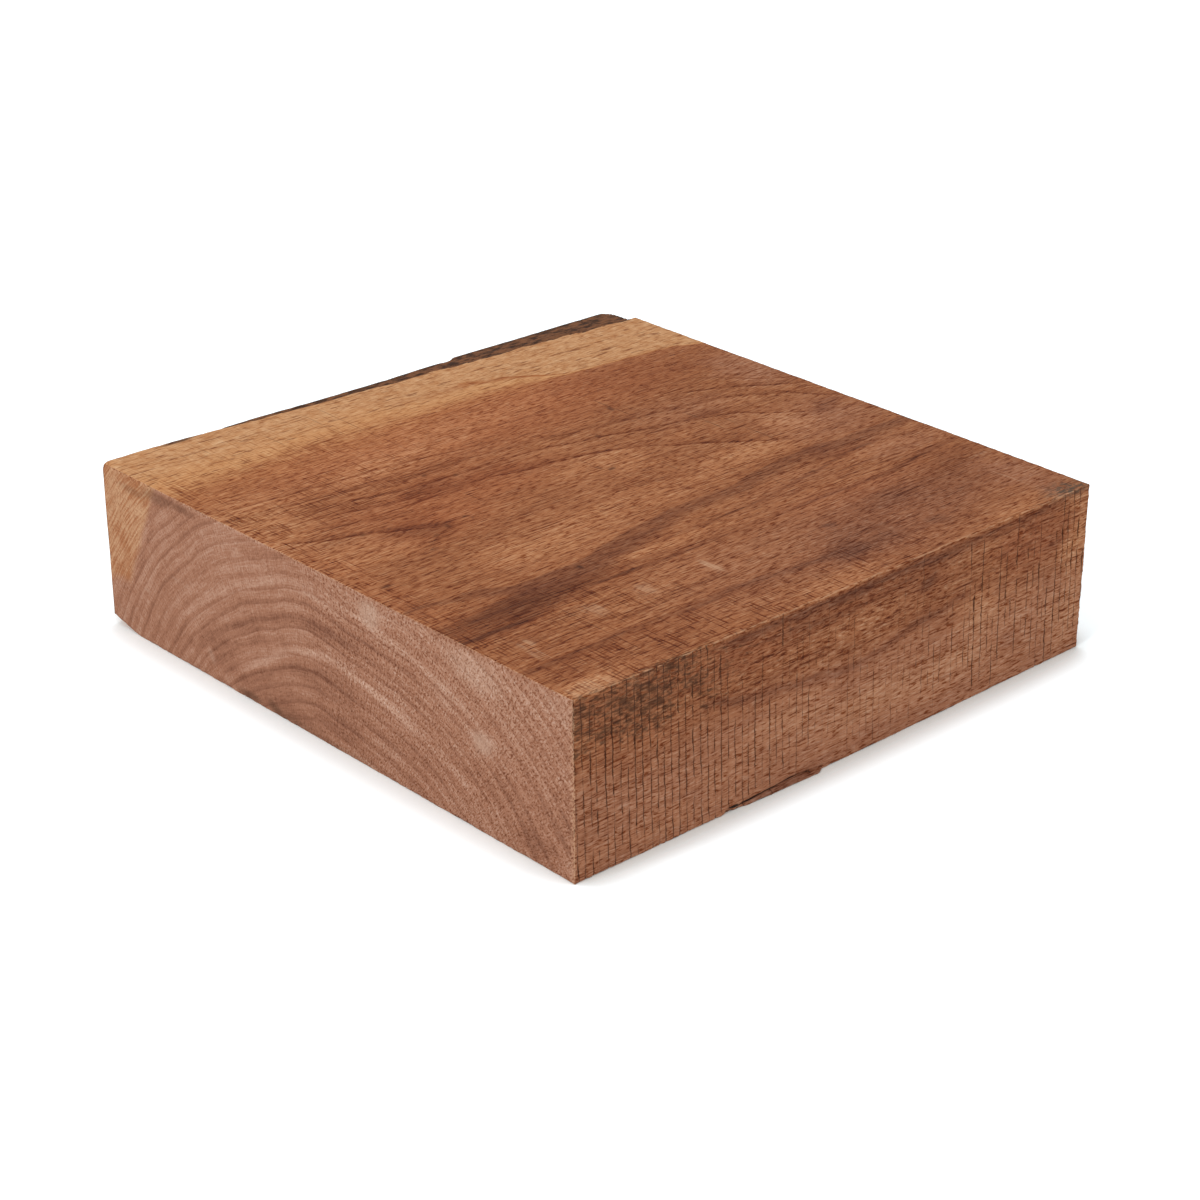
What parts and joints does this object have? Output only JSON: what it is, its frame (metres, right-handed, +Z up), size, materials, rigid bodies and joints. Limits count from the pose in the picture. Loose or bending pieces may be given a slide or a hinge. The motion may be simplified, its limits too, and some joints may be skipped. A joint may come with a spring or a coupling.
{
  "type": "wood turning blank",
  "caption": "Rough-sawn square walnut blank for turning a bowl or platter on a lathe, with sapwood and a strip of bark along the back top edge.",
  "frame": {"origin": "middle of the flat bottom face, where the blank rests", "axes": "+X along the grain towards the end where the bark is widest, +Y towards the sapwood and bark side, +Z up through the thickness"},
  "size_m": [0.2056, 0.2108, 0.0527],
  "materials": {
    "walnut": "bare rough-sawn walnut: brown heartwood, tan sapwood along the back, dark brown bark strip"
  },
  "bodies": {
    "root": {"blank": "walnut"}
  },
  "joints": []
}
